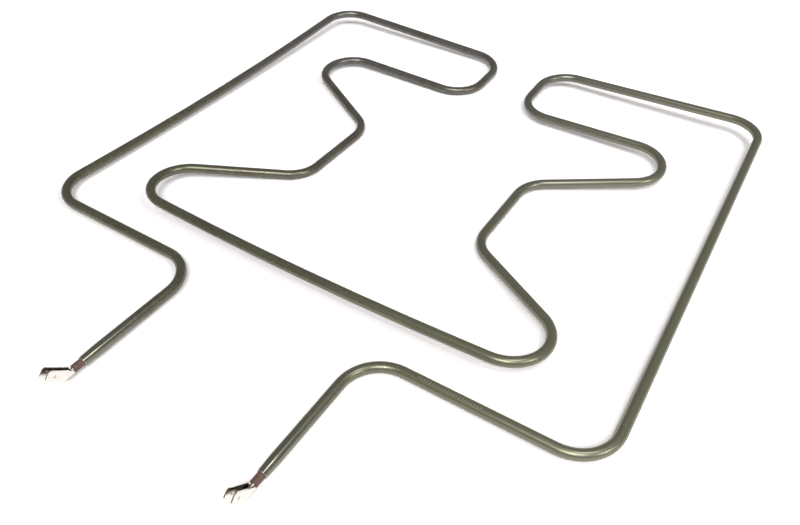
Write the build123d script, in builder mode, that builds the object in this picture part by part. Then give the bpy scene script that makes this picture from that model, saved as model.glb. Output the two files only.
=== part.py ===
"""Tubular heating element: one bent, magnesia-filled sheath with a forked tab terminal on each leg.

Millimetres, +Z up. The element lies on the floor plane z = 0 with its legs towards -Y. The
origin is on the floor, midway along the overall length in Y and midway between the legs in X.
"""

import os
from math import cos, radians, sin, tan

from build123d import *

# Tube
TUBE_OD = 6.5
WALL = 0.6
BEND_R = 25.0

# Plan of the loop. X is a half width, and Y is measured behind the front bars.
LEG_X = 62.5
LEG_LENGTH = 89.0
RAIL_X = 200.5
REAR_Y = 351.0
U_TURN_X = 23.5
RETURN_GAP = 70.0
RETURN_CORNER_X = 211.0
DIAGONAL_END_Y = 193.0
MID_X = 69.5
WING_START_Y = 115.0
CROSS_CORNER_X = 205.0
CROSS_Y = 30.5

# The tube as it left the bender. A lift is the gap under the tube: along the leg, then at each
# corner round to the cross bar. The rest are the small bows and the one shift in the runs.
LEFT_LIFTS = [1.5, 3.0, 9.0, 2.0, 0.0, 5.0, 0.0, 0.0, 10.0]
RIGHT_LIFTS = [0.0, 1.0, 12.0, 6.0, 3.0, 7.0, 1.0, 1.0, 10.0]
MID_SHIFT = 1.5
RAIL_BOW = 3.5
RAIL_SAG = 5.0
CROSS_BOW = 6.2
CROSS_SAG = 3.5
BOW_REACH = 0.9

# End bush and cold pin
BUSH_LENGTH = 14.0
BUSH_SHOWING = 5.5
BUSH_CLEARANCE = 0.05
BUSH_EDGE_R = 0.4
PIN_R = 1.25
PIN_CLEARANCE = 0.05
PIN_BURIED = 55.0
PIN_TO_FORK = 1.6
PIN_ON_FORK = 5.5
PIN_CHAMFER = 0.3

# Heating coil, as the plain envelope of its helix, screwed over the inner end of each pin
COIL_R = 1.7
COIL_OVER_PIN = 9.0

# Fork: a strip folded up into two parallel tabs, with its flat base welded under the pin
STRIP = 0.8
FOLD_R = 0.4
FORK_WIDTH = 5.2
FORK_HEEL = 2.6
BASE_DROP = 1.2
TAB_WIDTH = 6.3
TAB_LENGTH = 16.3
TAB_PITCH = 45.0
TAB_CHAMFER = 1.2
TAB_HOLE_R = 0.9
TAB_HOLE_FROM_TIP = 5.0

TUBE_R = TUBE_OD / 2
BORE_R = TUBE_R - WALL
HEEL_Y = BUSH_SHOWING + PIN_TO_FORK
PITCH = radians(TAB_PITCH)
ALONG_TAB = Vector(-cos(PITCH), sin(PITCH))
ACROSS_TAB = Vector(sin(PITCH), cos(PITCH))


def tab_tip():
    """Upper corner of a tab's tip in side view, as (y, z) from the centre of the sheath's end."""
    return Vector(-HEEL_Y, FORK_HEEL - BASE_DROP) + ALONG_TAB * TAB_LENGTH


def fork_outline():
    """Corners of the fork in side view, as (y, z) from the centre of the sheath's end."""
    heel = Vector(-HEEL_Y, -BASE_DROP)
    tip = tab_tip()
    base_length = TAB_WIDTH / sin(PITCH) - FORK_HEEL / tan(PITCH)
    return [
        heel,
        heel + Vector(0, FORK_HEEL),
        tip - ALONG_TAB * TAB_CHAMFER,
        tip - ACROSS_TAB * TAB_CHAMFER,
        tip - ACROSS_TAB * (TAB_WIDTH - TAB_CHAMFER),
        tip - ACROSS_TAB * TAB_WIDTH - ALONG_TAB * TAB_CHAMFER,
        heel - Vector(base_length, 0),
    ]


# The overall length runs from the tab tips to the back of the rear bars.
FORK_REACH = -min(corner.X for corner in fork_outline())
FRONT_BAR_Y = (LEG_LENGTH + FORK_REACH - REAR_Y - TUBE_R) / 2
LEG_END_Y = FRONT_BAR_Y - LEG_LENGTH


def half_loop(side, lifts, leg_end_y):
    """Corners of one half of the tube's centre line, from the leg's end to the cross bar."""
    mid_x = MID_X + side * MID_SHIFT
    return_y = REAR_Y - RETURN_GAP
    plan = [
        (RAIL_X, 0),
        (RAIL_X, REAR_Y),
        (U_TURN_X, REAR_Y),
        (U_TURN_X, return_y),
        (RETURN_CORNER_X, return_y),
        (mid_x, DIAGONAL_END_Y),
        (mid_x, WING_START_Y),
        (CROSS_CORNER_X, CROSS_Y),
    ]
    leg_z = TUBE_R + lifts[0]
    leg = [Vector(side * LEG_X, leg_end_y, leg_z), Vector(side * LEG_X, FRONT_BAR_Y, leg_z)]
    return leg + [
        Vector(side * x, FRONT_BAR_Y + y, TUBE_R + lift) for (x, y), lift in zip(plan, lifts[1:])
    ]


def half_angle(before, corner, after):
    """Half of the angle between the two runs that meet at a corner."""
    return radians((before - corner).get_angle(after - corner)) / 2


def tube_line(inset):
    """The tube's centre line, from one leg to the other, with each end set in from the sheath's."""
    left = half_loop(-1, LEFT_LIFTS, LEG_END_Y + inset)
    right = half_loop(1, RIGHT_LIFTS, LEG_END_Y + inset)
    left.insert(3, (left[2] + left[3]) / 2 + Vector(RAIL_BOW, 0, -RAIL_SAG))
    cross = (left[-1] + right[-1]) / 2 + Vector(0, -CROSS_BOW, -CROSS_SAG)
    corners = left + [cross] + right[::-1]
    radii = [BEND_R] * (len(corners) - 2)
    for bow in (3, len(left)):
        a, b, c, d, e = corners[bow - 2 : bow + 3]
        clear = min(
            (c - b).length - BEND_R / tan(half_angle(a, b, c)),
            (d - c).length - BEND_R / tan(half_angle(c, d, e)),
        )
        radii[bow - 1] = BOW_REACH * clear * tan(half_angle(b, c, d))
    with BuildLine() as line:
        FilletPolyline(*corners, radius=radii)
    return line.wire()


def save(part, name):
    """Label one node and write its STEP file."""
    part.label = name
    export_step(part, f"parts/{name}.step")


os.makedirs("parts", exist_ok=True)
leg_ends = {
    "left": Vector(-LEG_X, LEG_END_Y, TUBE_R + LEFT_LIFTS[0]),
    "right": Vector(LEG_X, LEG_END_Y, TUBE_R + RIGHT_LIFTS[0]),
}

# Sheath: the hollow tube, swept in one run from leg to leg.
sheath_line = tube_line(0)
with BuildPart() as sheath:
    with BuildSketch(Plane(origin=sheath_line @ 0, z_dir=sheath_line % 0)):
        Circle(TUBE_R)
        Circle(BORE_R, mode=Mode.SUBTRACT)
    sweep(path=sheath_line)
save(sheath.part, "sheath")

# Resistance coil: it runs on over the ends of the two pins.
coil_line = tube_line(PIN_BURIED - COIL_OVER_PIN)
with BuildPart() as resistance_coil:
    with BuildSketch(Plane(origin=coil_line @ 0, z_dir=coil_line % 0)):
        Circle(COIL_R)
    sweep(path=coil_line)
    for end in leg_ends.values():
        with BuildSketch(Plane(origin=end, z_dir=(0, 1, 0))):
            Circle(PIN_R)
        extrude(amount=PIN_BURIED, mode=Mode.SUBTRACT)
save(resistance_coil.part, "resistance_coil")

# Magnesia fill: it packs the bore between the two bushes, round the pins and the coil.
fill_line = tube_line(BUSH_LENGTH - BUSH_SHOWING)
with BuildPart() as magnesia_fill:
    with BuildSketch(Plane(origin=fill_line @ 0, z_dir=fill_line % 0)):
        Circle(BORE_R)
    sweep(path=fill_line)
    with BuildSketch(Plane(origin=coil_line @ 0, z_dir=coil_line % 0)):
        Circle(COIL_R)
    sweep(path=coil_line, mode=Mode.SUBTRACT)
    for end in leg_ends.values():
        with BuildSketch(Plane(origin=end, z_dir=(0, 1, 0))):
            Circle(PIN_R)
        extrude(amount=PIN_BURIED, mode=Mode.SUBTRACT)
save(magnesia_fill.part, "magnesia_fill")

for side, end in leg_ends.items():
    # End bush: the seal in the sheath's mouth, round the pin.
    with BuildPart() as end_bush:
        with BuildSketch(Plane(origin=end - Vector(0, BUSH_SHOWING, 0), z_dir=(0, 1, 0))):
            Circle(BORE_R - BUSH_CLEARANCE)
            Circle(PIN_R + PIN_CLEARANCE, mode=Mode.SUBTRACT)
        extrude(amount=BUSH_LENGTH)
        fillet(end_bush.faces().sort_by(Axis.Y)[0].outer_wire().edges(), BUSH_EDGE_R)
    save(end_bush.part, f"end_bush_{side}")

    # Cold pin: it carries the current past the bush, and has a flat where it lies on the fork.
    with BuildPart() as cold_pin:
        with BuildSketch(Plane(origin=end + Vector(0, PIN_BURIED, 0), z_dir=(0, -1, 0))):
            Circle(PIN_R)
        extrude(amount=PIN_BURIED + HEEL_Y + PIN_ON_FORK)
        chamfer(cold_pin.faces().sort_by(Axis.Y)[0].edges(), PIN_CHAMFER)
        with Locations(end + Vector(0, -HEEL_Y, STRIP - BASE_DROP)):
            Box(
                TUBE_OD,
                PIN_ON_FORK,
                TUBE_OD,
                align=(Align.CENTER, Align.MAX, Align.MAX),
                mode=Mode.SUBTRACT,
            )
    save(cold_pin.part, f"cold_pin_{side}")

    # Terminal: the folded strip's section, cut to the tabs' side view.
    side_view = Plane(origin=end, x_dir=(0, 1, 0), z_dir=(1, 0, 0))
    front_view = Plane(origin=end, x_dir=(1, 0, 0), z_dir=(0, -1, 0))
    fold_x = (FORK_WIDTH - STRIP) / 2
    fold_z = STRIP / 2 - BASE_DROP
    with BuildPart() as terminal:
        with BuildSketch(front_view):
            with BuildLine():
                FilletPolyline(
                    (-fold_x, TAB_LENGTH),
                    (-fold_x, fold_z),
                    (fold_x, fold_z),
                    (fold_x, TAB_LENGTH),
                    radius=FOLD_R + STRIP / 2,
                )
            trace(line_width=STRIP)
        extrude(amount=HEEL_Y + TAB_LENGTH + TAB_WIDTH)
        with BuildSketch(side_view):
            with BuildLine():
                Polyline(*fork_outline(), close=True)
            make_face()
            with Locations(
                tab_tip() - ALONG_TAB * TAB_HOLE_FROM_TIP - ACROSS_TAB * TAB_WIDTH / 2
            ):
                Circle(TAB_HOLE_R, mode=Mode.SUBTRACT)
        extrude(amount=FORK_WIDTH, both=True, mode=Mode.INTERSECT)
    save(terminal.part, f"terminal_{side}")
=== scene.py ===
"""Looks of the tubular heating element: its sheath, its end fittings, its finishes and the studio.

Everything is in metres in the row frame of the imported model. The sheath, bushes, pins and forks
are rebuilt finely over their CAD nodes, and the two nodes sealed inside keep their own meshes.
"""

import logging
import math
from dataclasses import dataclass
from enum import Enum
from typing import Any

import bpy
from mathutils import Matrix, Vector


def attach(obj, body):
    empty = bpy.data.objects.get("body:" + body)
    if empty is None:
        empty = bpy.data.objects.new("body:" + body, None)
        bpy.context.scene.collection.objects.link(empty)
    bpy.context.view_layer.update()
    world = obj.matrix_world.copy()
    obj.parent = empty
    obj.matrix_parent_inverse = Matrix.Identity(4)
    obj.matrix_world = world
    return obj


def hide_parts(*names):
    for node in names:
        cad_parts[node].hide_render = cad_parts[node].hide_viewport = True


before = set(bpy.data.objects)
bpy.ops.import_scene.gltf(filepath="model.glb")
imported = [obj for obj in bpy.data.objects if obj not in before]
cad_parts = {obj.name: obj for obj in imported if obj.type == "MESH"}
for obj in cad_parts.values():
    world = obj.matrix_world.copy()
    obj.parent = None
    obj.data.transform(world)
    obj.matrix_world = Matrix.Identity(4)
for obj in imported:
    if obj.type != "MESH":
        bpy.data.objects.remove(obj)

Colour = tuple[float, float, float]
Triple = tuple[float, float, float]
Span = tuple[float, float]

log = logging.getLogger("heating_element")

MM = 0.001
MERGE_DISTANCE = 1e-7
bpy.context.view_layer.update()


class Side(Enum):
    """Which half of the element a fitting belongs to, as the sign of its X."""

    LEFT = -1
    RIGHT = 1

    @property
    def word(self) -> str:
        """The side's name, as node names end in it."""
        return self.name.lower()


class Noise(Enum):
    """Octave settings of the noise used by the finishes, as detail and roughness."""

    BROAD = (2.0, 0.45)
    MOTTLED = (5.0, 0.6)
    GRAINY = (8.0, 0.7)


# Shader graph


class Value:
    """A shader socket, constant or colour that can be used in sums."""

    def __init__(self, graph: "Graph", source: Any) -> None:
        """Wrap a socket or a number.

        Args:
            graph: The graph that new maths nodes go into.
            source: An output socket or a number.
        """
        self.graph = graph
        self.source = source

    def _maths(self, operation: str, *operands: Any) -> "Value":
        """Add a Math node with the given inputs, in order."""
        inputs = dict(enumerate(operands))
        return self.graph.node("ShaderNodeMath", {"operation": operation}, inputs)

    def __add__(self, other: Any) -> "Value":
        """Sum."""
        return self._maths("ADD", self, other)

    __radd__ = __add__

    def __mul__(self, other: Any) -> "Value":
        """Product."""
        return self._maths("MULTIPLY", self, other)

    __rmul__ = __mul__

    def __sub__(self, other: Any) -> "Value":
        """Difference."""
        return self._maths("SUBTRACT", self, other)

    def __rsub__(self, other: Any) -> "Value":
        """Difference, with this value taken from the other."""
        return self._maths("SUBTRACT", other, self)

    def __truediv__(self, other: Any) -> "Value":
        """Quotient."""
        return self._maths("DIVIDE", self, other)

    def __rtruediv__(self, other: Any) -> "Value":
        """Quotient, with this value as the divisor."""
        return self._maths("DIVIDE", other, self)

    def __abs__(self) -> "Value":
        """Size without sign."""
        return self._maths("ABSOLUTE", self)

    def fraction(self) -> "Value":
        """What is left above the whole number below."""
        return self._maths("FRACT", self)

    def between(self, low: float, high: float, soft: float) -> "Value":
        """Mask that is 1 between two bounds, with edges of a soft width outside them."""
        return self.ramp(low - soft, low) * self.ramp(high + soft, high)

    def ramp(self, low: float, high: float) -> "Value":
        """Smooth step.

        Args:
            low: The value that gives 0.
            high: The value that gives 1. It may be below low.

        Returns:
            The step, between 0 and 1.
        """
        settings = {"interpolation_type": "SMOOTHSTEP"}
        inputs = {"Value": self, "From Min": low, "From Max": high}
        return self.graph.node("ShaderNodeMapRange", settings, inputs)


class Graph:
    """The node tree of one material or world."""

    def __init__(self, owner: Any) -> None:
        """Empty the tree of a material or world.

        Args:
            owner: The material or world.
        """
        owner.use_nodes = True
        self.tree = owner.node_tree
        self.tree.nodes.clear()

    def node(
        self, kind: str, settings: dict[str, Any], inputs: dict[Any, Any], output: Any = 0
    ) -> Value:
        """Add any node.

        Args:
            kind: The node's type.
            settings: Attributes to set on it.
            inputs: Values, sockets or constants by input name or index.
            output: Name or index of the output that is returned.

        Returns:
            That output.
        """
        made = self.tree.nodes.new(kind)
        for name, value in settings.items():
            setattr(made, name, value)
        for key, value in inputs.items():
            source = value.source if isinstance(value, Value) else value
            if isinstance(source, bpy.types.NodeSocket):
                self.tree.links.new(source, made.inputs[key])
            else:
                made.inputs[key].default_value = source
        return Value(self, made.outputs[output] if len(made.outputs) else None)

    def position(self) -> Value:
        """The shaded point in the row frame, in metres."""
        return self.node("ShaderNodeTexCoord", {}, {}, "Object")

    def place(self, axis: str) -> Value:
        """The point's coordinate along X, Y or Z, in metres."""
        return self.node("ShaderNodeSeparateXYZ", {}, {0: self.position()}, axis)

    def ray(self, kind: str) -> Value:
        """1 for rays of one kind, named as on the Light Path node, and 0 for others."""
        return self.node("ShaderNodeLightPath", {}, {}, kind)

    def noise(self, size: float, kind: Noise, stretch: Triple = (1, 1, 1)) -> Value:
        """Noise whose patches are about a given size.

        Args:
            size: Size of a patch, in metres.
            kind: Its octaves.
            stretch: How much longer a patch is along each axis.

        Returns:
            The noise, around 0.5.
        """
        scale = tuple(1 / (size * s) for s in stretch)
        place = self.node("ShaderNodeMapping", {}, {"Vector": self.position(), "Scale": scale})
        detail, roughness = kind.value
        inputs = {"Vector": place, "Scale": 1.0, "Detail": detail, "Roughness": roughness}
        return self.node("ShaderNodeTexNoise", {}, inputs)

    def blend(self, factor: Any, first: Any, second: Any) -> Value:
        """Mix two colours, by the share of the second."""
        sockets = {0: factor, 6: solid(first), 7: solid(second)}
        return self.node("ShaderNodeMix", {"data_type": "RGBA"}, sockets, 2)

    def bump(self, height: Value, depth: float) -> Value:
        """Normals from a height, where a height of 1 is the given depth in metres."""
        return self.node("ShaderNodeBump", {}, {"Height": height, "Distance": depth})

    def surface(self, **inputs: Any) -> None:
        """Finish with a Principled shader.

        Args:
            inputs: Its inputs, with underscores for spaces.
        """
        named = {name.replace("_", " "): value for name, value in inputs.items()}
        if "Base Color" in named:
            named["Base Color"] = solid(named["Base Color"])
        shader = self.node("ShaderNodeBsdfPrincipled", {}, named)
        self.node("ShaderNodeOutputMaterial", {}, {"Surface": shader})


def solid(colour: Any) -> Any:
    """Give a plain colour its fourth channel, and leave a Value or socket as it is."""
    return (*colour, 1.0) if isinstance(colour, tuple) and len(colour) == 3 else colour


# Finishes


@dataclass(frozen=True)
class Finish:
    """A procedural material."""

    name: str

    def material(self) -> bpy.types.Material:
        """Make the material.

        Returns:
            The material, with its shader built.
        """
        made = bpy.data.materials.new(self.name)
        self.shade(Graph(made))
        return made

    def shade(self, graph: Graph) -> None:
        """Build the shader in the material's empty graph."""
        raise NotImplementedError


@dataclass(frozen=True)
class OxidisedTube(Finish):
    """Oxidised stainless tube: mottled olive grey, bare at its ends, with painted glare greying it
    behind and painted sheen paling it right.
    """

    olive: Colour = (0.150, 0.152, 0.104)
    bronze: Colour = (0.128, 0.104, 0.082)
    # Painted glare: the grey that the rear of the tube is blended into.
    grey: Colour = (0.165, 0.162, 0.152)
    pale: Colour = (0.250, 0.255, 0.175)
    # Painted sheen: the paler colour that the right of the tube is blended into.
    painted_sheen: Colour = (0.270, 0.270, 0.188)
    speck: Colour = (0.62, 0.60, 0.52)
    bare: Colour = (0.25, 0.25, 0.20)
    cut_metal: Colour = (0.70, 0.66, 0.60)
    metal: float = 0.64
    roughness: float = 0.31
    painted_glare_span: Span = (-60.0 * MM, 150.0 * MM)
    patch_size: float = 26.0 * MM
    patch_range: Span = (0.44, 0.64)
    patch_share: float = 0.7
    painted_sheen_span: Span = (-80.0 * MM, 190.0 * MM)
    painted_sheen_share: float = 0.75
    mottle_size: float = 2.2 * MM
    mottle_range: Span = (0.45, 0.72)
    mottle_share: float = 0.45
    mottle_roughness: float = 0.12
    mottle_relief: float = 0.25
    grain_size: float = 0.35 * MM
    grain_roughness: float = 0.08
    grain_relief: float = 0.12
    speck_size: float = 1.3 * MM
    speck_range: Span = (0.735, 0.77)
    speck_share: float = 0.8
    bare_length: float = 16.0 * MM
    bare_fade: float = 38.0 * MM
    bare_share: float = 0.8
    bare_metal: float = 0.15
    bare_polish: float = 0.09
    leg_end_y: float = -210.5 * MM
    rim_length: float = 0.4 * MM
    relief: float = 0.05 * MM
    stamp_x: Span = (97.0 * MM, 135.0 * MM)
    stamp_y: Span = (-122.7 * MM, -121.3 * MM)
    stamp_z: float = 5.0 * MM
    tick_pitch: float = 1.75 * MM
    tick_width: Span = (0.16, 0.08)
    tick_share: float = 0.55
    soft: float = 0.2 * MM

    def ticks(self, graph: Graph) -> Value:
        """Plain tick marks struck across the top of the right front bar.

        Args:
            graph: The material's graph.

        Returns:
            Their mask.
        """
        across, along, up = graph.place("X"), graph.place("Y"), graph.place("Z")
        marks = abs((across / self.tick_pitch).fraction() - 0.5).ramp(*self.tick_width)
        row = across.between(*self.stamp_x, self.soft) * along.between(*self.stamp_y, self.soft)
        return marks * row * up.ramp(self.stamp_z - self.soft, self.stamp_z)

    def shade(self, graph: Graph) -> None:
        """Build the shader.

        Args:
            graph: The material's empty graph.
        """
        along = graph.place("Y")
        patches = graph.noise(self.patch_size, Noise.MOTTLED).ramp(*self.patch_range)
        # Painted sheen: a mask that grows towards the right of the tube, where it catches more
        # light.
        painted_sheen = graph.place("X").ramp(*self.painted_sheen_span)
        mottle = graph.noise(self.mottle_size, Noise.MOTTLED)
        grain = graph.noise(self.grain_size, Noise.GRAINY)
        specks = graph.noise(self.speck_size, Noise.BROAD).ramp(*self.speck_range)
        ticks = self.ticks(graph)
        bare_y = self.leg_end_y + self.bare_length
        bare = along.ramp(bare_y + self.bare_fade, bare_y)
        rim = along.ramp(self.leg_end_y + self.rim_length, self.leg_end_y)
        # Painted glare: the tube greys towards the rear.
        colour = graph.blend(along.ramp(*self.painted_glare_span), self.olive, self.grey)
        colour = graph.blend(patches * self.patch_share, colour, self.bronze)
        # Painted sheen paling the right of the tube.
        colour = graph.blend(painted_sheen * self.painted_sheen_share, colour, self.painted_sheen)
        mottled = mottle.ramp(*self.mottle_range) * self.mottle_share
        colour = graph.blend(mottled, colour, self.pale)
        marked = specks * self.speck_share + ticks * self.tick_share
        colour = graph.blend(marked, colour, self.speck)
        colour = graph.blend(bare * self.bare_share, colour, self.bare)
        colour = graph.blend(rim, colour, self.cut_metal)
        roughness = self.roughness + (mottle - 0.5) * self.mottle_roughness
        roughness = roughness + (grain - 0.5) * self.grain_roughness - bare * self.bare_polish
        height = mottle * self.mottle_relief + grain * self.grain_relief - ticks
        graph.surface(
            Base_Color=colour,
            Metallic=self.metal + bare * self.bare_metal,
            Roughness=roughness,
            Normal=graph.bump(height, self.relief),
        )


@dataclass(frozen=True)
class BrightPlating(Finish):
    """Bright nickel plate on folded strip, stained, and painted dark as shade high up between the
    tabs.
    """

    nickel: Colour = (0.99, 0.955, 0.88)
    stain: Colour = (0.72, 0.62, 0.48)
    # Painted shade: the dark colour put high up on the tabs' inner faces, standing in for their
    # dark reflections.
    painted_shade: Colour = (0.13, 0.10, 0.065)
    roughness: float = 0.09
    stain_size: float = 3.0 * MM
    stain_range: Span = (0.5, 0.74)
    stain_share: float = 0.35
    stain_roughness: float = 0.16
    wave_size: float = 2.4 * MM
    wave_relief: float = 0.9
    grain_size: float = 0.12 * MM
    grain_stretch: Triple = (1, 5, 5)
    grain_roughness: float = 0.08
    grain_relief: float = 0.02
    relief: float = 0.12 * MM
    leg_x: float = 62.5 * MM
    inside_x: Span = (1.9 * MM, 1.8 * MM)
    tab_top: float = -212.2 * MM
    painted_shade_depth: Span = (4.2 * MM, 2.2 * MM)
    painted_shade_edge: float = 1.0 * MM
    painted_shade_share: float = 0.92
    painted_shade_roughness: float = 0.15

    def shade(self, graph: Graph) -> None:
        """Build the shader.

        Args:
            graph: The material's empty graph.
        """
        stains = graph.noise(self.stain_size, Noise.MOTTLED).ramp(*self.stain_range)
        waves = graph.noise(self.wave_size, Noise.BROAD)
        grain = graph.noise(self.grain_size, Noise.GRAINY, self.grain_stretch)
        # The tabs' upper edges run at 45 degrees, so the depth below them is a diagonal one.
        depth = (self.tab_top - graph.place("Y") - graph.place("Z")) / math.sqrt(2)
        # Painted shade: darkens the inner faces high up between the tabs.
        painted_shade = abs(abs(graph.place("X")) - self.leg_x).ramp(*self.inside_x)
        painted_shade = painted_shade * (depth + (stains - 0.5) * self.painted_shade_edge).ramp(*self.painted_shade_depth)
        colour = graph.blend(stains * self.stain_share, self.nickel, self.stain)
        roughness = self.roughness + stains * self.stain_roughness
        roughness = roughness + painted_shade * self.painted_shade_roughness + (grain - 0.5) * self.grain_roughness
        height = waves * self.wave_relief + grain * self.grain_relief
        graph.surface(
            Base_Color=graph.blend(painted_shade * self.painted_shade_share, colour, self.painted_shade),
            Metallic=1.0,
            Roughness=roughness,
            Normal=graph.bump(height, self.relief),
        )


@dataclass(frozen=True)
class SealingBush(Finish):
    """Red-brown fired clay with darker pores and pale dust."""

    clay: Colour = (0.165, 0.094, 0.074)
    dark: Colour = (0.070, 0.040, 0.032)
    dust: Colour = (0.29, 0.17, 0.145)
    roughness: float = 0.55
    pore_size: float = 0.7 * MM
    pore_range: Span = (0.58, 0.38)
    pore_roughness: float = 0.4
    dust_size: float = 1.6 * MM
    dust_range: Span = (0.52, 0.75)
    dust_share: float = 0.5
    relief: float = 0.12 * MM

    def shade(self, graph: Graph) -> None:
        """Build the shader.

        Args:
            graph: The material's empty graph.
        """
        pores = graph.noise(self.pore_size, Noise.MOTTLED)
        dust = graph.noise(self.dust_size, Noise.MOTTLED).ramp(*self.dust_range)
        colour = graph.blend(pores.ramp(*self.pore_range), self.clay, self.dark)
        graph.surface(
            Base_Color=graph.blend(dust * self.dust_share, colour, self.dust),
            Roughness=self.roughness + (pores - 0.5) * self.pore_roughness,
            Normal=graph.bump(pores, self.relief),
        )


@dataclass(frozen=True)
class DrawnMetal(Finish):
    """Bare drawn wire or pin, with lines along its length."""

    colour: Colour = (0.60, 0.57, 0.52)
    tarnish: Colour = (0.26, 0.22, 0.18)
    roughness: float = 0.24
    line_size: float = 0.12 * MM
    line_stretch: Triple = (1, 40, 1)
    tarnish_size: float = 2.0 * MM
    tarnish_range: Span = (0.45, 0.7)
    tarnish_share: float = 0.7
    tarnish_roughness: float = 0.2
    relief: float = 0.01 * MM

    def shade(self, graph: Graph) -> None:
        """Build the shader.

        Args:
            graph: The material's empty graph.
        """
        lines = graph.noise(self.line_size, Noise.GRAINY, self.line_stretch)
        tarnish = graph.noise(self.tarnish_size, Noise.MOTTLED).ramp(*self.tarnish_range)
        graph.surface(
            Base_Color=graph.blend(tarnish * self.tarnish_share, self.colour, self.tarnish),
            Metallic=1.0,
            Roughness=self.roughness + tarnish * self.tarnish_roughness,
            Normal=graph.bump(lines, self.relief),
        )


@dataclass(frozen=True)
class PackedPowder(Finish):
    """Compacted white magnesia, slightly grey and granular."""

    white: Colour = (0.80, 0.78, 0.72)
    grey: Colour = (0.58, 0.56, 0.52)
    roughness: float = 0.85
    grain_size: float = 0.25 * MM
    grain_range: Span = (0.4, 0.65)
    grain_roughness: float = 0.2
    relief: float = 0.03 * MM

    def shade(self, graph: Graph) -> None:
        """Build the shader.

        Args:
            graph: The material's empty graph.
        """
        grains = graph.noise(self.grain_size, Noise.GRAINY)
        graph.surface(
            Base_Color=graph.blend(grains.ramp(*self.grain_range), self.white, self.grey),
            Roughness=self.roughness + (grains - 0.5) * self.grain_roughness,
            Normal=graph.bump(grains, self.relief),
        )


@dataclass(frozen=True)
class StudioFloor(Finish):
    """White sweep, bleached to the camera so that only real shadows show, and a little in gloss."""

    white: Colour = (0.90, 0.89, 0.90)
    bleached: Colour = (1.31, 1.27, 1.28)
    glossy_share: float = 0.25

    def shade(self, graph: Graph) -> None:
        """Build the shader.

        Args:
            graph: The material's empty graph.
        """
        bleach = graph.ray("Is Camera Ray") + graph.ray("Is Glossy Ray") * self.glossy_share
        colour = graph.blend(bleach, self.white, self.bleached)
        paper = graph.node("ShaderNodeBsdfDiffuse", {}, {"Color": colour})
        graph.node("ShaderNodeOutputMaterial", {}, {"Surface": paper})


# Editing


def start_piece(name: str, add: Any, **settings: Any) -> bpy.types.Object:
    """Add a primitive at the origin and open it for editing with everything selected.

    Args:
        name: The piece's name.
        add: The primitive operator.
        settings: Its arguments.

    Returns:
        The piece, in edit mode.
    """
    add(**settings)
    piece = bpy.context.object
    piece.name = name
    bpy.ops.object.mode_set(mode="EDIT")
    bpy.ops.mesh.select_all(action="SELECT")
    return piece


def turn(angle: float, axis: str) -> None:
    """Turn the selection about the origin's X, Y or Z by an angle in radians."""
    bpy.ops.transform.rotate(value=angle, orient_axis=axis, center_override=(0, 0, 0))


def cut(point: Vector, keep: Vector) -> None:
    """Cut the whole mesh by a plane, close it, and keep one side.

    Args:
        point: A point on the plane.
        keep: The plane's normal, towards the side that stays.
    """
    bpy.ops.mesh.select_all(action="SELECT")
    bpy.ops.mesh.bisect(
        plane_co=point, plane_no=keep, use_fill=True, clear_inner=True, clear_outer=False
    )


def select_faces(piece: bpy.types.Object, wanted: Any) -> None:
    """Select the faces that pass a test, and nothing else.

    Args:
        piece: The piece, in edit mode.
        wanted: The test, on a face's polygon.
    """
    bpy.ops.mesh.select_mode(type="FACE")
    bpy.ops.mesh.select_all(action="DESELECT")
    bpy.ops.object.mode_set(mode="OBJECT")
    for face in piece.data.polygons:
        face.select = wanted(face)
    bpy.ops.object.mode_set(mode="EDIT")


def select_vertices(piece: bpy.types.Object, wanted: Any) -> None:
    """Select the vertices that pass a test, and nothing else.

    Args:
        piece: The piece, in edit mode.
        wanted: The test, on a vertex's place.
    """
    bpy.ops.mesh.select_mode(type="VERT")
    bpy.ops.mesh.select_all(action="DESELECT")
    bpy.ops.object.mode_set(mode="OBJECT")
    for vertex in piece.data.vertices:
        vertex.select = wanted(vertex.co)
    bpy.ops.object.mode_set(mode="EDIT")


def select_edges(piece: bpy.types.Object, wanted: Any) -> None:
    """Select the edges that pass a test, and nothing else.

    Args:
        piece: The piece, in edit mode.
        wanted: The test, on the edge's two ends.
    """
    bpy.ops.mesh.select_mode(type="EDGE")
    bpy.ops.mesh.select_all(action="DESELECT")
    bpy.ops.object.mode_set(mode="OBJECT")
    vertices = piece.data.vertices
    for edge in piece.data.edges:
        first, second = (vertices[i].co for i in edge.vertices)
        edge.select = wanted(first, second)
    bpy.ops.object.mode_set(mode="EDIT")


def apply_modifier(piece: bpy.types.Object, kind: str, **settings: Any) -> None:
    """Add a modifier to a piece and apply it.

    Args:
        piece: The active piece, in object mode.
        kind: The modifier's type.
        settings: Its settings.
    """
    modifier = piece.modifiers.new(kind.lower(), kind)
    for name, value in settings.items():
        setattr(modifier, name, value)
    bpy.ops.object.modifier_apply(modifier=modifier.name)


def finish_mesh(piece: bpy.types.Object, angle: float) -> None:
    """Merge doubles, turn the faces outwards and shade the piece smooth.

    Args:
        piece: The active piece.
        angle: Edges sharper than this stay sharp, in radians.
    """
    bpy.ops.object.mode_set(mode="EDIT")
    bpy.ops.mesh.select_all(action="SELECT")
    bpy.ops.mesh.remove_doubles(threshold=MERGE_DISTANCE)
    bpy.ops.mesh.normals_make_consistent(inside=False)
    bpy.ops.object.mode_set(mode="OBJECT")
    bpy.ops.object.shade_smooth_by_angle(angle=angle)


def dress(piece: bpy.types.Object, finish: bpy.types.Material, node: str) -> None:
    """Give a piece its material and its place in the table, and report it.

    Args:
        piece: The piece.
        finish: Its material.
        node: The CAD node that it stands for.
    """
    piece.data.materials.clear()
    piece.data.materials.append(finish)
    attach(piece, "root")
    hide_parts(node)
    log.info("%s: %d faces", piece.name, len(piece.data.polygons))


# The element


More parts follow.
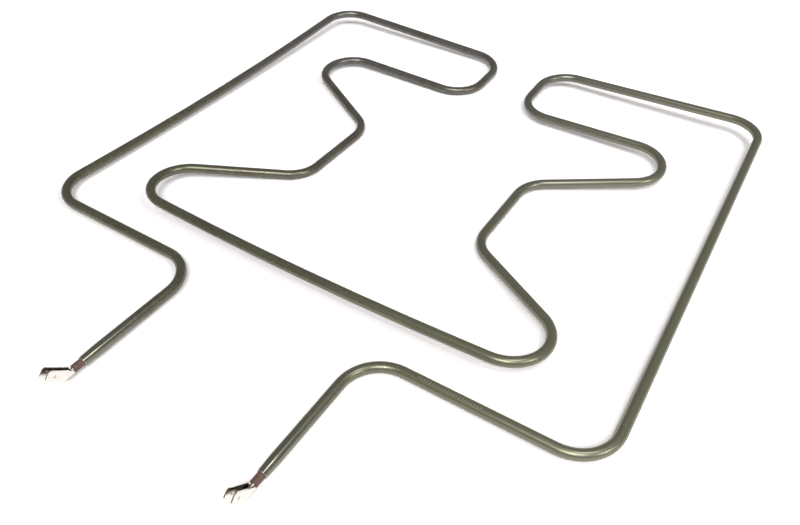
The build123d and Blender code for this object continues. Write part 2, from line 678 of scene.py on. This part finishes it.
@dataclass
class Loop:
    """The bent tube's plan, heights and section.

    Every X is a distance from the middle, and every Y but the first is behind the front bars.
    """

    front_bar_y: float = -121.509 * MM
    tube_r: float = 3.25 * MM
    wall: float = 0.6 * MM
    bend_r: float = 25.0 * MM
    leg_x: float = 62.5 * MM
    leg_length: float = 89.0 * MM
    rail_x: float = 200.5 * MM
    rear_y: float = 351.0 * MM
    u_turn_x: float = 23.5 * MM
    return_y: float = 281.0 * MM
    return_corner_x: float = 211.0 * MM
    diagonal_end_y: float = 193.0 * MM
    mid_x: float = 69.5 * MM
    mid_shift: float = 1.5 * MM
    wing_start_y: float = 115.0 * MM
    cross_corner_x: float = 205.0 * MM
    cross_y: float = 30.5 * MM
    rail_bow: Vector = Vector((3.5, 0, -5.0)) * MM
    cross_bow: Vector = Vector((0, -6.2, -3.5)) * MM
    bow_reach: float = 0.9
    neck_r: float = 2.9 * MM
    neck_length: float = 12.0 * MM
    neck_rings: int = 8
    sides_around: int = 48
    bend_step: float = math.radians(5)
    fewest_steps: int = 6

    def lifts(self, side: Side) -> list[float]:
        """Gap under the tube along the leg and then at each corner round to the cross bar.

        Args:
            side: The half of the loop.

        Returns:
            The gaps, in metres.
        """
        left = [1.5, 3.0, 9.0, 2.0, 0.0, 5.0, 0.0, 0.0, 10.0]
        right = [0.0, 1.0, 12.0, 6.0, 3.0, 7.0, 1.0, 1.0, 10.0]
        return [lift * MM for lift in (left if side is Side.LEFT else right)]

    def leg_end(self, side: Side) -> Vector:
        """Centre of the sheath's cut end on one side."""
        y = self.front_bar_y - self.leg_length
        return Vector((side.value * self.leg_x, y, self.tube_r + self.lifts(side)[0]))

    def half(self, side: Side) -> list[Vector]:
        """Corners of one half of the centre line, from the leg's end to the cross bar.

        Args:
            side: The half of the loop.

        Returns:
            The corners.
        """
        mid_x = self.mid_x + side.value * self.mid_shift
        plan = [
            (self.leg_x, 0.0),
            (self.rail_x, 0.0),
            (self.rail_x, self.rear_y),
            (self.u_turn_x, self.rear_y),
            (self.u_turn_x, self.return_y),
            (self.return_corner_x, self.return_y),
            (mid_x, self.diagonal_end_y),
            (mid_x, self.wing_start_y),
            (self.cross_corner_x, self.cross_y),
        ]
        return [self.leg_end(side)] + [
            Vector((side.value * x, self.front_bar_y + y, self.tube_r + lift))
            for (x, y), lift in zip(plan, self.lifts(side))
        ]

    def corners(self) -> tuple[list[Vector], tuple[int, int]]:
        """Corners of the whole centre line, and which two are bows in a run.

        Returns:
            The corners, and the two indexes.
        """
        left, right = self.half(Side.LEFT), self.half(Side.RIGHT)
        left.insert(3, (left[2] + left[3]) / 2 + self.rail_bow)
        cross = (left[-1] + right[-1]) / 2 + self.cross_bow
        return left + [cross] + right[::-1], (3, len(left))

    def bends(self) -> list[tuple[Vector, Vector, float, float]]:
        """Each bend of the centre line.

        Returns:
            For each bend its corner, its axis, its turn in radians and its radius.
        """
        corners, bows = self.corners()
        runs = [b - a for a, b in zip(corners, corners[1:])]
        turns = [a.angle(b) for a, b in zip(runs, runs[1:])]
        radii = [self.bend_r] * len(turns)
        for bow in bows:
            before = runs[bow - 1].length - self.bend_r * math.tan(turns[bow - 2] / 2)
            after = runs[bow].length - self.bend_r * math.tan(turns[bow] / 2)
            radii[bow - 1] = self.bow_reach * min(before, after) / math.tan(turns[bow - 1] / 2)
        axes = [a.cross(b).normalized() for a, b in zip(runs, runs[1:])]
        return list(zip(corners[1:-1], axes, turns, radii))


@dataclass
class Sheath:
    """The hollow tube, drawn along its runs, spun round its bends and necked at both ends."""

    loop: Loop
    smooth_angle: float = math.radians(50)

    def neck(self, place: Vector, widening: bool) -> Vector:
        """Draw the selected ring on along a leg while its radius changes.

        Args:
            place: The ring's centre.
            widening: Whether it leaves the left end, and not nears the right one.

        Returns:
            The last ring's centre.
        """
        loop = self.loop
        step = Vector((0, loop.neck_length / loop.neck_rings, 0)) * (1 if widening else -1)
        waves = [math.cos(math.pi * i / loop.neck_rings) for i in range(loop.neck_rings + 1)]
        radii = [loop.tube_r - (loop.tube_r - loop.neck_r) * (1 + wave) / 2 for wave in waves]
        radii = radii if widening else radii[::-1]
        for before, after in zip(radii, radii[1:]):
            place = place + step
            ratio = after / before
            bpy.ops.mesh.extrude_region_move(TRANSFORM_OT_translate={"value": step})
            bpy.ops.transform.resize(value=(ratio, 1, ratio), center_override=place)
        return place

    def build(self) -> bpy.types.Object:
        """Model the tube.

        Returns:
            The piece.
        """
        loop = self.loop
        piece = start_piece(
            "sheath_tube",
            bpy.ops.mesh.primitive_circle_add,
            vertices=loop.sides_around,
            radius=loop.neck_r,
        )
        turn(math.pi / 2, "X")
        bpy.ops.transform.translate(value=loop.leg_end(Side.LEFT))
        place = self.neck(loop.leg_end(Side.LEFT), widening=True)
        corners, _ = loop.corners()
        for before, (corner, axis, angle, radius) in zip(corners, loop.bends()):
            along = (corner - before).normalized()
            start = corner - along * radius * math.tan(angle / 2)
            centre = start + axis.cross(along) * radius
            bpy.ops.mesh.extrude_region_move(TRANSFORM_OT_translate={"value": start - place})
            steps = max(loop.fewest_steps, math.ceil(angle / loop.bend_step))
            bpy.ops.mesh.spin(steps=steps, angle=angle, center=centre, axis=-axis)
            place = centre + Matrix.Rotation(angle, 3, axis) @ (start - centre)
        neck_start = corners[-1] + Vector((0, loop.neck_length, 0))
        bpy.ops.mesh.extrude_region_move(TRANSFORM_OT_translate={"value": neck_start - place})
        self.neck(neck_start, widening=False)
        bpy.ops.mesh.select_all(action="SELECT")
        bpy.ops.mesh.normals_make_consistent(inside=False)
        bpy.ops.object.mode_set(mode="OBJECT")
        apply_modifier(piece, "SOLIDIFY", thickness=loop.wall, offset=-1.0, use_even_offset=True)
        finish_mesh(piece, self.smooth_angle)
        return piece


@dataclass
class EndFitting:
    """What comes out of one end of the sheath: the bush, the pin and the forked terminal."""

    loop: Loop
    bush_showing: float = 6.0 * MM
    bush_length: float = 14.0 * MM
    bush_r: float = 2.25 * MM
    bush_shoulder: float = 0.3 * MM
    clearance: float = 0.05 * MM
    pin_r: float = 1.25 * MM
    pin_buried: float = 55.0 * MM
    heel_y: float = 7.1 * MM
    pin_on_fork: float = 5.5 * MM
    pin_chamfer: float = 0.3 * MM
    strip: float = 0.8 * MM
    fold_r: float = 0.4 * MM
    fork_width: float = 5.2 * MM
    fork_heel: float = 2.6 * MM
    base_drop: float = 1.2 * MM
    tab_width: float = 6.3 * MM
    tab_length: float = 16.3 * MM
    tab_pitch: float = math.radians(45)
    tab_chamfer: float = 1.2 * MM
    hole_r: float = 0.9 * MM
    hole_from_tip: float = 5.0 * MM
    edge: float = 0.12 * MM
    sides_around: int = 40
    bush_smooth: float = math.radians(50)
    pin_smooth: float = math.radians(35)
    fork_smooth: float = math.radians(30)
    fork_rounded: float = math.radians(40)

    def place(self, piece: bpy.types.Object, side: Side) -> None:
        """Move a piece made round the sheath's end at the origin to its own leg."""
        piece.data.transform(Matrix.Translation(self.loop.leg_end(side)))

    def bush(self, side: Side) -> bpy.types.Object:
        """Model the bush: a clay collar with a rounded shoulder and a spigot in the sheath, spun.

        Args:
            side: The leg.

        Returns:
            The piece.
        """
        inner_r = self.pin_r + self.clearance
        wide = self.bush_r - inner_r
        spigot_r = self.loop.neck_r - self.loop.wall - self.clearance
        buried = self.bush_length - self.bush_showing
        piece = start_piece(f"bush_{side.word}", bpy.ops.mesh.primitive_plane_add, size=1)
        bpy.ops.transform.resize(value=(wide, self.bush_showing, 1), center_override=(0, 0, 0))
        middle = Vector((inner_r + wide / 2, -self.bush_showing / 2, 0))
        bpy.ops.transform.translate(value=middle)
        select_edges(piece, lambda a, b: min(a.y, b.y) > -self.edge)
        bpy.ops.mesh.extrude_region_move()
        narrowing = ((spigot_r - inner_r) / wide, 1, 1)
        bpy.ops.transform.resize(value=narrowing, center_override=(inner_r, 0, 0))
        bpy.ops.mesh.extrude_region_move(TRANSFORM_OT_translate={"value": (0, buried, 0)})
        shoulder = Vector((self.bush_r, -self.bush_showing, 0))
        select_vertices(piece, lambda co: (co - shoulder).length < self.edge)
        bpy.ops.mesh.bevel(offset=self.bush_shoulder, segments=5, affect="VERTICES")
        bpy.ops.mesh.select_mode(type="FACE")
        bpy.ops.mesh.select_all(action="SELECT")
        bpy.ops.mesh.dissolve_faces()
        bpy.ops.mesh.delete(type="ONLY_FACE")
        bpy.ops.mesh.select_mode(type="VERT")
        bpy.ops.mesh.select_all(action="SELECT")
        bpy.ops.mesh.spin(steps=self.sides_around, angle=math.tau, center=(0, 0, 0), axis=(0, 1, 0))
        bpy.ops.object.mode_set(mode="OBJECT")
        finish_mesh(piece, self.bush_smooth)
        self.place(piece, side)
        return piece

    def pin(self, side: Side) -> bpy.types.Object:
        """Model the pin: a rod with a chamfered tip and a flat where it lies on the fork.

        Args:
            side: The leg.

        Returns:
            The piece.
        """
        length = self.pin_buried + self.heel_y + self.pin_on_fork
        tip_y = self.pin_buried - length
        piece = start_piece(
            f"pin_{side.word}",
            bpy.ops.mesh.primitive_cylinder_add,
            vertices=self.sides_around,
            radius=self.pin_r,
            depth=length,
        )
        turn(math.pi / 2, "X")
        bpy.ops.transform.translate(value=(0, tip_y + length / 2, 0))
        select_edges(piece, lambda a, b: max(a.y, b.y) < tip_y + self.edge)
        bpy.ops.mesh.bevel(offset=self.pin_chamfer, segments=1, affect="EDGES")
        bpy.ops.object.mode_set(mode="OBJECT")
        notch = start_piece("notch", bpy.ops.mesh.primitive_cube_add, size=2 * self.pin_on_fork)
        notch_z = self.strip - self.base_drop - self.pin_on_fork
        bpy.ops.transform.translate(value=(0, tip_y, notch_z))
        bpy.ops.object.mode_set(mode="OBJECT")
        self.subtract(piece, notch)
        finish_mesh(piece, self.pin_smooth)
        self.place(piece, side)
        return piece

    def fork(self, side: Side) -> bpy.types.Object:
        """Model the terminal: a strip folded up from its base into two parallel tabs.

        Args:
            side: The leg.

        Returns:
            The piece.
        """
        along = Vector((0, -math.cos(self.tab_pitch), math.sin(self.tab_pitch)))
        across = Vector((0, math.sin(self.tab_pitch), math.cos(self.tab_pitch)))
        heel_top = Vector((0, -self.heel_y, self.fork_heel - self.base_drop))
        tip = heel_top + along * self.tab_length
        piece = start_piece(f"fork_{side.word}", bpy.ops.mesh.primitive_cube_add, size=1)
        block = Vector((self.fork_width, 2 * self.tab_length, self.tab_width))
        bpy.ops.transform.resize(value=block, center_override=(0, 0, 0))
        bpy.ops.object.mode_set(mode="OBJECT")
        piece.data.transform(Matrix.Rotation(-self.tab_pitch, 4, "X"))
        piece.data.transform(Matrix.Translation(heel_top - across * self.tab_width / 2))
        bpy.ops.object.mode_set(mode="EDIT")
        tip_span = (tip + heel_top).dot(along) / 2
        select_edges(piece, lambda a, b: abs(a.x - b.x) > self.strip and a.dot(along) > tip_span)
        bpy.ops.mesh.bevel(offset=self.tab_chamfer, segments=1, affect="EDGES")
        cut(heel_top, Vector((0, -1, 0)))
        cut(Vector((0, 0, -self.base_drop)), Vector((0, 0, 1)))
        # Only the two side walls and the floor of the block stay, as a folded sheet.
        select_faces(piece, lambda face: abs(face.normal.x) < 0.5 and face.normal.z > -0.9)
        bpy.ops.mesh.delete(type="ONLY_FACE")
        base_z = self.edge - self.base_drop
        select_edges(piece, lambda a, b: max(a.z, b.z) < base_z and a.x * b.x > 0)
        bpy.ops.mesh.bevel(offset=self.fold_r + self.strip, segments=6, affect="EDGES")
        bpy.ops.object.mode_set(mode="OBJECT")
        apply_modifier(piece, "SOLIDIFY", thickness=self.strip, offset=-1.0, use_even_offset=True)
        drill = start_piece(
            "drill",
            bpy.ops.mesh.primitive_cylinder_add,
            vertices=self.sides_around,
            radius=self.hole_r,
            depth=2 * self.fork_width,
        )
        turn(math.pi / 2, "Y")
        hole = tip - along * self.hole_from_tip - across * self.tab_width / 2
        bpy.ops.transform.translate(value=hole)
        bpy.ops.object.mode_set(mode="OBJECT")
        self.subtract(piece, drill)
        apply_modifier(
            piece,
            "BEVEL",
            width=self.edge,
            segments=2,
            limit_method="ANGLE",
            angle_limit=self.fork_rounded,
        )
        finish_mesh(piece, self.fork_smooth)
        self.place(piece, side)
        return piece

    def subtract(self, piece: bpy.types.Object, tool: bpy.types.Object) -> None:
        """Cut a tool's shape out of a piece and remove the tool.

        Args:
            piece: The piece that stays.
            tool: The closed mesh that is cut out.
        """
        bpy.context.view_layer.objects.active = piece
        apply_modifier(piece, "BOOLEAN", operation="DIFFERENCE", solver="EXACT", object=tool)
        bpy.data.objects.remove(tool, do_unlink=True)
        piece.select_set(True)


# The studio


@dataclass(frozen=True)
class Lamp:
    """A lamp aimed at the middle of the floor, where it gives a share of the light.

    The shares and the sky add up to about 1, which is pi watts per square metre of floor.
    """

    name: str
    share: float
    place: Vector
    width: float

    def hang(self) -> None:
        """Hang the lamp and set its power."""
        aim = (-self.place).to_track_quat("-Z", "Y").to_euler()
        bpy.ops.object.light_add(type=self.kind(), rotation=aim, location=self.place)
        lamp = bpy.context.object
        lamp.name = self.name
        self.set_power(lamp.data, self.share * math.pi / self.place.normalized().z)

    def kind(self) -> str:
        """The lamp's type in the light operator."""
        raise NotImplementedError

    def set_power(self, light: bpy.types.Light, arriving: float) -> None:
        """Set the light by what arrives in the middle, in watts per square metre facing it."""
        raise NotImplementedError


@dataclass(frozen=True)
class FarLamp(Lamp):
    """A lamp so far off that only its direction counts. Its width is an angle in degrees."""

    def kind(self) -> str:
        """The lamp's type in the light operator."""
        return "SUN"

    def set_power(self, light: bpy.types.Light, arriving: float) -> None:
        """Set the light by what arrives in the middle, in watts per square metre facing it."""
        light.energy = arriving
        light.angle = math.radians(self.width)


@dataclass(frozen=True)
class NearLamp(Lamp):
    """A round lamp above the element, which lights what is near it more. Its width is in metres."""

    def kind(self) -> str:
        """The lamp's type in the light operator."""
        return "AREA"

    def set_power(self, light: bpy.types.Light, arriving: float) -> None:
        """Set the light.

        Args:
            light: The light.
            arriving: What arrives in the middle, in watts per square metre facing it.
        """
        light.energy = arriving * math.pi * self.place.length_squared
        light.shape = "DISK"
        light.size = self.width


@dataclass
class Studio:
    """A white sweep, one near lamp over the element, two far lamps, and the camera."""

    floor_size: float = 8.0
    lamps: tuple[Lamp, ...] = (
        NearLamp("top_lamp", 0.13, Vector((0.30, -0.05, 0.60)), 0.10),
        FarLamp("key_softbox", 0.44, Vector((0.30, -0.64, 1.0)), 30.0),
        FarLamp("right_lamp", 0.13, Vector((1.5, -0.16, 1.0)), 22.0),
    )
    sky: Colour = (0.30, 0.30, 0.30)
    room: Colour = (0.19, 0.185, 0.17)
    backdrop: Colour = (1.0, 1.0, 1.0)
    lens: float = 32.17
    sensor_width: float = 36.0
    nearest: float = 10.0 * MM
    camera_place: Vector = Vector((209.85, -333.65, 309.20)) * MM
    right: Vector = Vector((0.84846, 0.52889, 0.01955))
    down: Vector = Vector((0.37007, -0.56646, -0.73632))

    def floor(self) -> None:
        """Lay the floor."""
        bpy.ops.mesh.primitive_plane_add(size=self.floor_size)
        floor = bpy.context.object
        floor.name = "floor"
        floor.data.materials.append(StudioFloor("floor_white").material())

    def world(self) -> None:
        """Fill the room: white to the camera, dim and warm in reflections, and even elsewhere."""
        world = bpy.data.worlds.new("room")
        bpy.context.scene.world = world
        graph = Graph(world)
        colour = graph.blend(graph.ray("Is Glossy Ray"), self.sky, self.room)
        colour = graph.blend(graph.ray("Is Camera Ray"), colour, self.backdrop)
        back = graph.node("ShaderNodeBackground", {}, {"Color": colour})
        graph.node("ShaderNodeOutputWorld", {}, {"Surface": back})

    def camera(self) -> None:
        """Set up the camera and plain colours."""
        bpy.ops.object.camera_add(location=self.camera_place)
        camera = bpy.context.object
        back = self.down.cross(self.right).normalized()
        turned = Matrix((self.right, -self.down, back)).transposed()
        camera.matrix_world = Matrix.Translation(self.camera_place) @ turned.to_4x4()
        camera.data.lens = self.lens
        camera.data.sensor_width = self.sensor_width
        camera.data.clip_start = self.nearest
        bpy.context.scene.camera = camera
        bpy.context.scene.view_settings.view_transform = "Standard"


def dress_inside() -> None:
    """Finish the CAD nodes that stay: what is sealed in the sheath."""
    finishes = {
        "magnesia_fill": PackedPowder("packed_magnesia"),
        "resistance_coil": DrawnMetal("resistance_wire", roughness=0.35),
    }
    for name, finish in finishes.items():
        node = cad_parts[name]
        node.data.materials.clear()
        node.data.materials.append(finish.material())
        log.info("%s: %s", name, finish.name)


def main() -> None:
    """Build the element and its studio."""
    logging.basicConfig(level=logging.INFO)
    loop = Loop()
    tube = OxidisedTube("oxidised_tube").material()
    clay = SealingBush("sealing_clay").material()
    drawn = DrawnMetal("drawn_pin").material()
    nickel = BrightPlating("bright_nickel").material()
    dress(Sheath(loop).build(), tube, "sheath")
    fitting = EndFitting(loop)
    for side in Side:
        dress(fitting.bush(side), clay, f"end_bush_{side.word}")
        dress(fitting.pin(side), drawn, f"cold_pin_{side.word}")
        dress(fitting.fork(side), nickel, f"terminal_{side.word}")
    dress_inside()
    studio = Studio()
    studio.floor()
    for lamp in studio.lamps:
        lamp.hang()
    studio.world()
    studio.camera()


if __name__ == "__main__":
    main()
